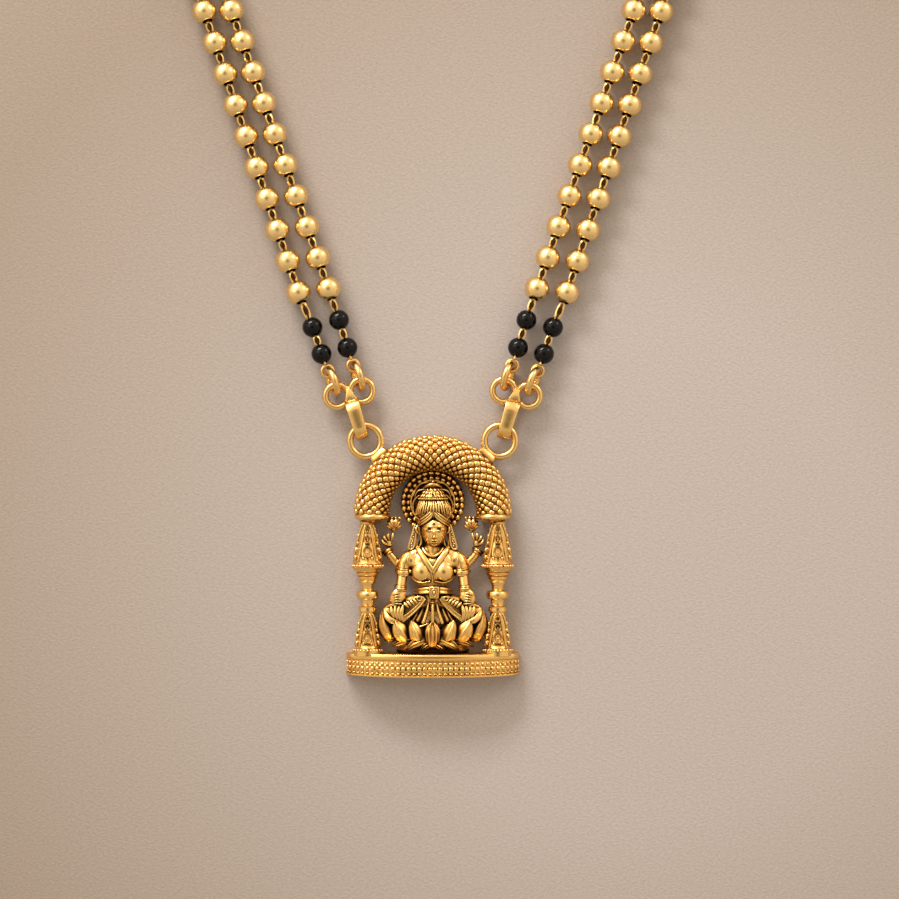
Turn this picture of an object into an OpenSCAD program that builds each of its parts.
// Two-strand wedding necklace with a temple-arch pendant, lying face up.
// X runs across the pendant, Y from the plinth up to the clasp, Z out of the
// surface that it lies on. Sizes are in millimetres.

/* [Beads] */
// Diameter of a gold bead
gold_d = 4.4; // [4.2:0.05:4.4]
// Diameter of a black bead
black_d = 3.6; // [3.4:0.1:3.6]
// Diameter of the hole drilled through each bead
bore_d = 1.7; // [1.5:0.05:1.8]
// Gold beads on half of the outer strand
outer_count = 36; // [34:1:36]
// Gold beads on half of the inner strand
inner_count = 35; // [33:1:35]

/* [Strands] */
// Radius of the outer strand where it goes round the neck
neck_r = 61.2; // [60:0.2:66]
// Lean of the strands from straight up, in degrees
lean = 18.5; // [17.5:0.5:20]
// Distance between the strands round the neck
strand_gap = 4.6; // [4.6:0.05:4.8]
// Diameter of the wire that carries the beads
wire_d = 0.9; // [0.7:0.05:0.9]
// Height of the strands' middle above the surface
mid_z = 2.2; // [2.2:0.05:2.3]

/* [Rings and clasp] */
// Outer diameter of a jump ring
jump_d = 5.5; // [5.4:0.05:5.5]
// Wire of a jump ring
jump_wire = 1.25; // [1.15:0.05:1.25]
// Lean of a jump ring from upright, in degrees
jump_lean = 15; // [10:1:18]
// Wire of the eye at each end of a strand
eye_wire = 0.45; // [0.4:0.01:0.5]
// Outer diameter of a connector's ring
connector_d = 5.2; // [5:0.1:5.3]
// Wire of a connector's ring
connector_wire = 1.16; // [1:0.02:1.2]
// Outer length of a connector's band loop
band_length = 7.4; // [7.2:0.1:7.6]
// Width of a band loop at its soldered end
band_w = 2.7; // [2.4:0.1:2.8]
// Thickness of the band
band_t = 0.9; // [0.8:0.05:1]
// Outer diameter of a hanging ring on the arch
hanger_d = 6.75; // [6.5:0.05:7]
// Wire of a hanging ring
hanger_wire = 1.24; // [1.1:0.02:1.3]
// Radius of each half of the clasp hook, at the middle of its wire
hook_r = 2.5; // [2.4:0.05:2.6]
// Wire of the clasp hook
hook_wire = 1.2; // [1.1:0.05:1.3]

/* [Pendant frame] */
// Half the width of the plinth
plinth_half = 15.3; // [15:0.1:15.6]
// Height of the plinth
plinth_h = 4.1; // [3.9:0.1:4.2]
// How far the plinth's bowed front stands out
plinth_depth = 6.3; // [5.8:0.1:6.5]
// Radius of the arch, at the middle of its tube
arch_r = 10.83; // [10.8:0.01:10.9]
// Radius of the arch's tube
tube_r = 2.8; // [2.7:0.05:2.9]
// Height of the arch's centre above the plinth's foot
arch_y = 28.9; // [28.8:0.1:29]
// Distance of each pillar from the middle
pillar_x = 11.5; // [11.4:0.1:11.6]
// Height of the tube's and pillars' middle above the flat back
tube_z = 2.4; // [2.3:0.1:2.6]

/* [Figure] */
// Radius of the halo
halo_r = 5.55; // [5.4:0.05:5.6]
// Height of the halo's centre above the plinth's foot
halo_y = 30.9; // [30.8:0.1:31]
// Half the width of the lotus seat
lotus_half = 9.3; // [9:0.1:9.4]
// Gap that keeps the figure clear of the frame
seat_gap = 0.1; // [0.08:0.01:0.2]

/* [Hidden] */
OUTER = 0;
INNER = 1;
gold = "goldenrod";
old_gold = "darkgoldenrod";

// Places on the left half of the loop, measured from the plinth's foot
first_gold = [-23.8, 68.2];
black_upper = [[-21.3, 62.0], [-16.6, 63.3]];
black_lower = [[-19.7, 57.3], [-15.1, 58.4]];
hanger_turn = 42.5;
hanger_reach = 17.6;
front_turn = 17;
front_shift = 0.3;
ring_turn = -5;
inner_start = [-1.07, 5.25];
inner_bend = 53;
back_turn = 9;
last_angle = [18.5, 19.4];

along = [-sin(lean), cos(lean)];
inward = [cos(lean), sin(lean)];
neck_y = first_gold[1] + (neck_r + first_gold[0] * inward[0]) / inward[1];
jump_r = (jump_d - jump_wire) / 2;
jump_z = jump_r * cos(jump_lean) + jump_wire / 2;
connector_r = (connector_d - connector_wire) / 2;
ring_offset = 2.24;
band_start = 1.05;
band_end = band_start + band_length;
jump_hang = 0.64;
jump_lift = (jump_z - mid_z) / cos(jump_lean);
eye_reach = sqrt(pow(jump_r, 2) - pow(jump_lift, 2));
eye_r = jump_wire / 2 * jump_r / eye_reach / cos(jump_lean) + 0.15 + eye_wire / 2;
hook_y = neck_y + neck_r - strand_gap / 2 + 0.2;
hook_reach = band_end + 0.35;
hanger_at = [-hanger_reach * sin(hanger_turn), arch_y + hanger_reach * cos(hanger_turn)];
front_joint = hanger_at + turned([-front_shift, band_end + 0.45], front_turn);
back_joint = [-hook_r - hook_reach * cos(back_turn), hook_y - hook_reach * sin(back_turn)];
loop_top = back_joint[1] + ring_offset * cos(back_turn + ring_turn) + connector_d / 2;
base_y = -loop_top / 2;

function unit(v) = v / norm(v);
function gap_of(strand) = strand == OUTER ? 0 : strand_gap;
function on_line(a, off) = first_gold + along * a + inward * off;
function on_neck(r, angle) = [-r * sin(angle), neck_y + r * cos(angle)];

// A strand runs straight to inner_bend, straight on to the neck, and round it
function start_of(strand) = strand == OUTER ? first_gold : on_line(inner_start[0], inner_start[1]);
function bend_of(strand) = on_line(inner_bend, gap_of(strand));
function tangent_of(strand) = on_neck(neck_r - gap_of(strand), 90 + lean);
function length_1(strand) = norm(bend_of(strand) - start_of(strand));
function length_2(strand) = norm(tangent_of(strand) - bend_of(strand));
function length_3(strand) = (neck_r - gap_of(strand)) * (90 + lean - last_angle[strand]) * PI / 180;
function strand_length(strand) = length_1(strand) + length_2(strand) + length_3(strand);
function on_strand(strand, s) =
    let (l1 = length_1(strand), l2 = length_2(strand))
    s <= l1 ? start_of(strand) + (bend_of(strand) - start_of(strand)) * s / l1
    : s <= l1 + l2 ? bend_of(strand) + (tangent_of(strand) - bend_of(strand)) * (s - l1) / l2
    : on_neck(neck_r - gap_of(strand), 90 + lean - (s - l1 - l2) / (neck_r - gap_of(strand)) * 180 / PI);
function count_of(strand) = strand == OUTER ? outer_count : inner_count;
function gold_place(strand, k) = on_strand(strand, strand_length(strand) * k / (count_of(strand) - 1));

// Where the rings and eyes of a strand lie, and the way it points there
function turned(v, angle) = [v[0] * cos(angle) - v[1] * sin(angle), v[0] * sin(angle) + v[1] * cos(angle)];
function side_of(strand) = strand == OUTER ? -1 : 1;
function front_ring(strand) = front_joint + turned([side_of(strand) * ring_offset, 0], front_turn + ring_turn);
function front_way(strand) = unit(black_lower[strand] - front_ring(strand));
function front_jump(strand) = front_ring(strand) + front_way(strand) * (connector_r + jump_hang);
function front_eye(strand) = front_jump(strand) + front_way(strand) * eye_reach;
function back_ring(strand) = back_joint + turned([0, -side_of(strand) * ring_offset], back_turn + ring_turn);
function back_way(strand) = unit(gold_place(strand, count_of(strand) - 1) - back_ring(strand));
function back_jump(strand) = back_ring(strand) + back_way(strand) * (connector_r + jump_hang);
function back_eye(strand) = back_jump(strand) + back_way(strand) * eye_reach;
function wire_route(strand) = [
    front_eye(strand) + front_way(strand) * eye_r,
    black_lower[strand],
    black_upper[strand],
    for (k = [0 : count_of(strand) - 1]) gold_place(strand, k),
    back_eye(strand) + back_way(strand) * eye_r
];
function heading(v) = atan2(v[1], v[0]) - 90;

module on_side(side) {
    translate([0, base_y, 0])
        if (side < 0) children();
        else mirror([1, 0, 0]) children();
}

module ring(r, wire) {
    rotate_extrude($fn = 48)
        translate([r, 0])
            circle(d = wire, $fn = 32);
}

module drilled_bead(d, at, way) {
    translate([at[0], at[1], mid_z])
        rotate([0, 0, heading(way)])
            difference() {
                sphere(d = d, $fn = 48);
                rotate([90, 0, 0])
                    cylinder(d = bore_d, h = 2 * d, center = true, $fn = 32);
            }
}

// Bead number 1 of a route is the lower black one, 2 the upper, and the gold ones follow
module bead_on(strand, d, numbers) {
    route = wire_route(strand);
    for (i = numbers) drilled_bead(d, route[i], route[i + 1] - route[i - 1]);
}

module gold_beads(side, strand) {
    color(gold)
        on_side(side)
            bead_on(strand, gold_d, [3 : count_of(strand) + 2]);
}

module black_bead(side, strand, number) {
    color("black")
        on_side(side)
            bead_on(strand, black_d, [number]);
}

// The link wire is a tube with an eye at each end; every bead's middle has a ring of points
function way_at(route, i) = unit(unit(route[min(len(route) - 1, i + 1)] - route[max(0, i - 1)]));
function tube_ring(at, way, r, sides) = [
    for (j = [0 : sides - 1])
        let (a = 360 * j / sides)
        [at[0] - way[1] * r * cos(a), at[1] + way[0] * r * cos(a), mid_z + r * sin(a)]
];

module tube(route, r, sides, closed = false) {
    n = len(route);
    rings = [
        for (i = [0 : n - 1])
            each tube_ring(route[i],
                closed ? unit(route[(i + 1) % n] - route[(i + n - 1) % n]) : way_at(route, i), r, sides)
    ];
    walls = [
        for (i = [0 : closed ? n - 1 : n - 2], j = [0 : sides - 1])
            let (a = i * sides, b = (i + 1) % n * sides, k = (j + 1) % sides)
            each [[a + j, b + j, b + k], [a + j, b + k, a + k]]
    ];
    first = [for (j = [0 : sides - 1]) j];
    last = [for (j = [sides - 1 : -1 : 0]) (n - 1) * sides + j];
    polyhedron(points = rings, faces = closed ? walls : concat(walls, [first, last]));
}

module end_eye(at) {
    steps = 12;
    tube([for (i = [0 : steps - 1]) at + eye_r * [cos(360 * i / steps), sin(360 * i / steps)]],
        eye_wire / 2, 6, closed = true);
}

module link_wire(side, strand) {
    color(gold)
        on_side(side) {
            tube(wire_route(strand), wire_d / 2, 8);
            end_eye(front_eye(strand));
            end_eye(back_eye(strand));
        }
}

module jump_ring(side, at, way) {
    color(gold)
        on_side(side)
            translate([at[0], at[1], jump_z])
                rotate([0, 0, heading(way)])
                    translate([(jump_z - mid_z) * tan(jump_lean), 0, 0])
                        rotate([0, 90 + jump_lean, 0])
                            ring(jump_r, jump_wire);
}

// A connector is two rings soldered to a band loop that stands on edge
module slot_outline(length, height) {
    square([length - height, height], center = true);
    for (s = [-1, 1])
        translate([s * (length - height) / 2, 0])
            circle(d = height, $fn = 48);
}

module band_loop() {
    narrow = 0.78;
    intersection() {
        translate([0, -(band_start + band_length / 2), mid_z])
            rotate([90, 0, 90])
                linear_extrude(band_w, center = true)
                    difference() {
                        slot_outline(band_length, 2 * mid_z);
                        slot_outline(band_length - 2 * band_t, 2 * mid_z - 2 * band_t);
                    }
        linear_extrude(4 * mid_z, center = true)
            polygon([
                [-band_w / 2, 0], [-band_w / 2 * narrow, -band_end - 1],
                [band_w / 2 * narrow, -band_end - 1], [band_w / 2, 0]
            ]);
    }
}

module connector_neck() {
    half = 0.5;
    translate([0, 0, mid_z - half])
        linear_extrude(2 * half)
            polygon([
                [-0.5, 0.9], [0.5, 0.9], [band_w / 2 - 0.15, -band_start - 0.2],
                [band_w / 2 - 0.15, -band_start - 0.6], [0.15 - band_w / 2, -band_start - 0.6],
                [0.15 - band_w / 2, -band_start - 0.2]
            ]);
}

module connector(side, at, turn) {
    color(gold)
        on_side(side)
            translate([at[0], at[1], 0])
                rotate([0, 0, turn]) {
                    rotate([0, 0, ring_turn])
                        for (s = [-1, 1])
                            translate([s * ring_offset, 0, mid_z])
                                ring(connector_r, connector_wire);
                    connector_neck();
                    band_loop();
                }
}

// The clasp is one plain S of wire that lies flat and holds both back connectors
function hook_point(angle) = [hook_r * (cos(angle) - 1), hook_r * sin(angle)];

module clasp_hook() {
    sweep = 300;
    steps = 25;
    half = [for (i = [0 : steps]) hook_point(sweep * i / steps)];
    route = concat([for (i = [steps : -1 : 1]) -half[i]], half);
    color(gold)
        translate([0, base_y + hook_y, 0])
            tube(route, hook_wire / 2, 12);
}

// The plinth is bowed in plan, with three rows of studs round its front
bow_rise = 5.1;
bow_steps = 24;
function bow(t) = [-plinth_half * cos(t), plinth_depth - bow_rise + bow_rise * sin(t)];
function bow_step(i) = norm(bow(180 * i / bow_steps) - bow(180 * (i - 1) / bow_steps));
function bow_sum(i) = i == 0 ? 0 : bow_sum(i - 1) + bow_step(i);
bow_table = [for (i = [0 : bow_steps]) [bow_sum(i), 180 * i / bow_steps]];

module plinth() {
    studs = 34;
    rows = [[1, 0.42], [2.1, 0.5], [3.1, 0.36]];
    rotate([90, 0, 0])
        mirror([0, 0, 1])
            linear_extrude(plinth_h)
                polygon([
                    [-plinth_half, 0],
                    for (i = [0 : bow_steps]) bow(180 * i / bow_steps),
                    [plinth_half, 0]
                ]);
    for (row = rows, i = [0 : studs - 1])
        let (t = lookup(bow_sum(bow_steps) * (i + 0.5) / studs, bow_table), p = bow(t))
        translate([p[0], row[0], p[1]])
            rotate([0, atan2(-cos(t) / plinth_half, sin(t) / bow_rise), 0])
                rotate([0, 0, 45])
                    translate([0, 0, -0.15])
                        cylinder(r1 = row[1] * 1.5, r2 = row[1] * 0.4, h = 0.45, $fn = 4);
    foot_rim();
}

module foot_rim() {
    rim = 0.25;
    rotate([90, 0, 0])
        mirror([0, 0, 1])
            linear_extrude(0.4)
                intersection() {
                    offset(delta = rim)
                        polygon([for (i = [0 : bow_steps]) bow(180 * i / bow_steps)]);
                    translate([-plinth_half, 0])
                        square([2 * plinth_half, 2 * plinth_depth]);
                }
}

// Radius and height of each point of a pillar's turned outline
pillar_profile = [
    [0, 4], [2.6, 4], [2.6, 4.9], [2.2, 5.25], [1.8, 8.2], [1.38, 11.5], [1.7, 11.8], [1.72, 12.3],
    [1.6, 12.7], [1.18, 12.9], [1.18, 13.8], [1.85, 14.2], [2.02, 14.75], [1.85, 15.3], [1.1, 15.6],
    [1.15, 16.6], [1.58, 17.2], [1.5, 17.5], [2, 18], [1.85, 18.3], [2.35, 18.9], [2.9, 19.4],
    [2.9, 20.1], [2.45, 20.4], [1.95, 24], [1.4, 27.2], [1.4, 28.2], [0, 28.2]
];
// Foot height, top height, foot radius and top radius of each stretch with raised ribs
rib_rows = [[5.4, 10.8, 2.1, 1.2], [20.8, 26.8, 2.2, 1.3]];

module pillar() {
    ribs = 8;
    translate([-pillar_x, 0, tube_z])
        rotate([-90, 0, 0]) {
            rotate_extrude($fn = 16)
                polygon(pillar_profile);
            for (row = rib_rows, i = [1 : ribs / 2 + 1])
                rotate([0, 0, -360 * (i + 0.5) / ribs + 22.5])
                    hull() {
                        translate([row[2], 0, row[0]]) sphere(r = 0.34, $fn = 5);
                        translate([row[3], 0, row[1]]) sphere(r = 0.24, $fn = 5);
                    }
        }
}

// The arch is a tube with a flat back, studded all over its round side
function tube_point(angle, around, r) = [
    -(arch_r + r * cos(around)) * cos(angle),
    arch_y + (arch_r + r * cos(around)) * sin(angle),
    tube_z + r * sin(around)
];

module arch() {
    lengths = 38;
    rounds = 14;
    stud = 0.3;
    back = asin(tube_z / tube_r);
    span = 180 + 2 * back;
    width = rounds + 1;
    corners = [
        for (i = [0 : lengths], j = [0 : rounds])
            tube_point(180 * i / lengths, -back + span * j / rounds, tube_r)
    ];
    tops = [
        for (i = [0 : lengths - 1], j = [0 : rounds - 1])
            tube_point(180 * (i + 0.5) / lengths, -back + span * (j + 0.5) / rounds, tube_r + stud)
    ];
    studs = [
        for (i = [0 : lengths - 1], j = [0 : rounds - 1])
            let (a = i * width + j, b = a + width, t = len(corners) + i * rounds + j)
            each [[a, b, t], [b, b + 1, t], [b + 1, a + 1, t], [a + 1, a, t]]
    ];
    flat = concat([for (i = [0 : lengths]) i * width + rounds], [for (i = [lengths : -1 : 0]) i * width]);
    left_end = [for (j = [0 : rounds]) j];
    right_end = [for (j = [rounds : -1 : 0]) lengths * width + j];
    polyhedron(points = concat(corners, tops), faces = concat(studs, [flat, left_end, right_end]));
}

module arch_foot() {
    translate([-arch_r, arch_y - 0.9, tube_z])
        rotate([-90, 0, 0])
            cylinder(r1 = tube_r - 0.3, r2 = tube_r + 0.35, h = 1, $fn = 20);
}

// A ring soldered to the arch's shoulder by a short block
module hanger() {
    translate([0, arch_y, mid_z])
        rotate([0, 0, hanger_turn]) {
            translate([0, hanger_reach, 0])
                rotate_extrude($fn = 20)
                    translate([(hanger_d - hanger_wire) / 2, 0])
                        circle(d = hanger_wire, $fn = 8);
            hull() {
                translate([0, 13.2, 0]) cube([3, 0.6, 2.4], center = true);
                translate([0, 14.9, 0]) cube([2.2, 0.6, 1.2], center = true);
            }
        }
}

module half_frame() {
    pillar();
    arch_foot();
    hanger();
}

module pendant_frame() {
    color(old_gold)
        translate([0, base_y, 0])
            intersection() {
                union() {
                    plinth();
                    arch();
                    half_frame();
                    mirror([1, 0, 0]) half_frame();
                }
                translate([0, 20, 10]) cube([60, 60, 20], center = true);
            }
}

// The seated figure is built of limbs, each the hull of two balls
module ball(at, r, squash = [1, 1, 1], sides = 12) {
    translate(at) scale(squash) sphere(r = r, $fn = sides);
}

module limb(a, ra, b, rb, sides = 8) {
    hull() {
        ball(a, ra, sides = sides);
        ball(b, rb, sides = sides);
    }
}

module both() {
    children();
    mirror([1, 0, 0]) children();
}

// Foot, tip and width of each petal of one half of the lotus
upper_petals = [
    [[2.5, 5.6, 3.9], [2.7, 9.2, 5.1], 1.35],
    [[4.7, 5.9, 3.6], [5.5, 9.8, 4.5], 1.45],
    [[6.7, 6.8, 2.9], [8.2, 11.6, 3.4], 1.35]
];
lower_petals = [
    [[1.5, 6.4, 4.2], [1.7, 4.9, 4.9], 1],
    [[3.8, 6.4, 3.8], [4.3, 4.8, 4.5], 1.15],
    [[5.6, 6.8, 3.2], [6.7, 5.2, 3.6], 1.05]
];

module petal(foot, tip, width) {
    middle = (foot + tip) / 2 + [0, 0, 0.7];
    hull() {
        ball(foot, width * 0.55, sides = 7);
        ball(middle, width * 0.82, [1, 1, 0.85], 9);
        ball(tip, 0.2, sides = 5);
    }
}

module lotus() {
    translate([0, plinth_h + seat_gap, 0])
        rotate([-90, 0, 0])
            linear_extrude(4, scale = 1.08)
                polygon([for (i = [0 : 12]) [6.6 * cos(180 * i / 12), -4.3 * sin(180 * i / 12)]]);
    petal([0, 6, 4.3], [0, 9.5, 5.3], 1.5);
    both() {
        for (p = upper_petals) petal(p[0], p[1], p[2]);
        for (p = lower_petals) petal(p[0], p[1], p[2]);
    }
}

module legs() {
    both() {
        limb([1.7, 13.2, 2.6], 1.5, [7, 11.2, 2.7], 1.45, 10);
        limb([7.1, 10.9, 3], 1.3, [1.9, 12.6, 4.2], 0.9, 10);
        limb([1.5, 13.2, 3.9], 0.75, [4.2, 10.3, 4.4], 0.7);
    }
    limb([0, 13.6, 2.4], 2, [0, 10.4, 2.6], 1.8);
}

module skirt_folds() {
    both() {
        limb([0.5, 14, 4], 0.35, [0.75, 9.7, 4.4], 0.35, 6);
        limb([1, 13.8, 3.6], 0.35, [1.7, 10, 4], 0.35, 6);
    }
    limb([0, 14, 4.3], 0.32, [0, 9.8, 4.8], 0.32, 6);
}

module torso() {
    hull() {
        ball([0, 21.1, 2.6], 1.5, [2.3, 0.8, 1]);
        ball([0, 18.6, 2.6], 1.6, [1.8, 1, 1]);
    }
    limb([0, 19, 2.6], 2.1, [0, 15, 2.4], 1.9, 12);
    both() ball([1.95, 18.5, 4], 1.65, [1, 1, 0.95]);
    translate([0, 14.7, 2.4])
        rotate([-90, 0, 0])
            cylinder(r = 3, h = 1.3, $fn = 16);
    translate([0, 15.2, 5.2]) cube([1.7, 2.3, 1.1], center = true);
}

module arms() {
    both() {
        limb([4.3, 21.4, 2.7], 1.35, [5.15, 19.2, 3], 1.15, 10);
        limb([5.15, 19.3, 3], 1.3, [5.2, 18.7, 3], 1.3, 10);
        limb([5.4, 18.4, 3.1], 0.9, [5.9, 15.9, 3.6], 0.75, 8);
        limb([6, 15.7, 3.6], 0.95, [6.5, 13.6, 4.3], 0.8, 8);
        limb([5.3, 19.6, 1.7], 0.75, [7.8, 22.5, 1.8], 0.65, 8);
        limb([7.75, 22.3, 1.8], 0.85, [7.95, 22.9, 1.8], 0.85, 8);
        limb([7.9, 23.3, 1.8], 0.7, [8, 24.9, 1.9], 0.75, 8);
        limb([7.6, 25, 1.9], 0.25, [6.7, 26.7, 1.9], 0.25, 6);
        ball([6.4, 27.4, 1.9], 0.95, sides = 8);
    }
}

module head() {
    limb([0, 24, 2.5], 1.1, [0, 21.8, 2.4], 1.2, 10);
    ball([0, 26.2, 3.1], 2.25, [1, 1.28, 0.98], 16);
    limb([0, 26, 5.2], 0.28, [0, 25.4, 5.4], 0.36, 6);
    ball([0, 29.1, 2.6], 3.25, [1.02, 0.78, 0.88], 14);
    both() limb([3.1, 27.3, 2.2], 0.55, [3.5, 23.5, 2.2], 0.95, 7);
}

module crown() {
    translate([0, 0, 2.6])
        rotate([-90, 0, 0])
            rotate_extrude($fn = 14)
                polygon([
                    [0, 30], [2.55, 31], [2.5, 31.6], [2.15, 32.3], [1.3, 33.5], [1.6, 33.9],
                    [1.1, 34.4], [0.6, 34.8], [0.25, 35.3], [0, 35.4]
                ]);
}

// Radius, count and size of each row of studs on the halo
halo_rows = [[5.15, 26, 0.36], [4.2, 22, 0.3], [3.45, 22, 0.2]];

module halo() {
    translate([0, halo_y, 0.3]) {
        cylinder(r = halo_r, h = 1, $fn = 30);
        for (row = halo_rows, i = [0 : row[1] - 1])
            rotate([0, 0, 360 * (i + 0.5) / row[1]])
                translate([row[0], 0, 0.95])
                    cylinder(r1 = row[2] * 1.2, r2 = row[2] * 0.4, h = 0.4, $fn = 4);
    }
}

module goddess_figure() {
    color(old_gold)
        translate([0, base_y, 0])
            intersection() {
                union() {
                    halo();
                    lotus();
                    legs();
                    skirt_folds();
                    torso();
                    arms();
                    head();
                    crown();
                }
                translate([0, 20 + plinth_h + seat_gap, 10]) cube([40, 40, 20], center = true);
            }
}

pendant_frame();
goddess_figure();
connector(-1, front_joint, front_turn);  // connector_front_left
connector(1, front_joint, front_turn);  // connector_front_right
connector(-1, back_joint, 90 + back_turn);  // connector_back_left
connector(1, back_joint, 90 + back_turn);  // connector_back_right
jump_ring(-1, front_jump(OUTER), front_way(OUTER));  // jump_ring_front_left_outer
jump_ring(-1, front_jump(INNER), front_way(INNER));  // jump_ring_front_left_inner
jump_ring(1, front_jump(OUTER), front_way(OUTER));  // jump_ring_front_right_outer
jump_ring(1, front_jump(INNER), front_way(INNER));  // jump_ring_front_right_inner
jump_ring(-1, back_jump(OUTER), back_way(OUTER));  // jump_ring_back_left_outer
jump_ring(-1, back_jump(INNER), back_way(INNER));  // jump_ring_back_left_inner
jump_ring(1, back_jump(OUTER), back_way(OUTER));  // jump_ring_back_right_outer
jump_ring(1, back_jump(INNER), back_way(INNER));  // jump_ring_back_right_inner
black_bead(-1, OUTER, 2);  // black_bead_left_outer_upper
black_bead(-1, OUTER, 1);  // black_bead_left_outer_lower
black_bead(-1, INNER, 2);  // black_bead_left_inner_upper
black_bead(-1, INNER, 1);  // black_bead_left_inner_lower
black_bead(1, OUTER, 2);  // black_bead_right_outer_upper
black_bead(1, OUTER, 1);  // black_bead_right_outer_lower
black_bead(1, INNER, 2);  // black_bead_right_inner_upper
black_bead(1, INNER, 1);  // black_bead_right_inner_lower
gold_beads(-1, OUTER);  // gold_beads_left_outer
gold_beads(-1, INNER);  // gold_beads_left_inner
gold_beads(1, OUTER);  // gold_beads_right_outer
gold_beads(1, INNER);  // gold_beads_right_inner
link_wire(-1, OUTER);  // link_wire_left_outer
link_wire(-1, INNER);  // link_wire_left_inner
link_wire(1, OUTER);  // link_wire_right_outer
link_wire(1, INNER);  // link_wire_right_inner
clasp_hook();
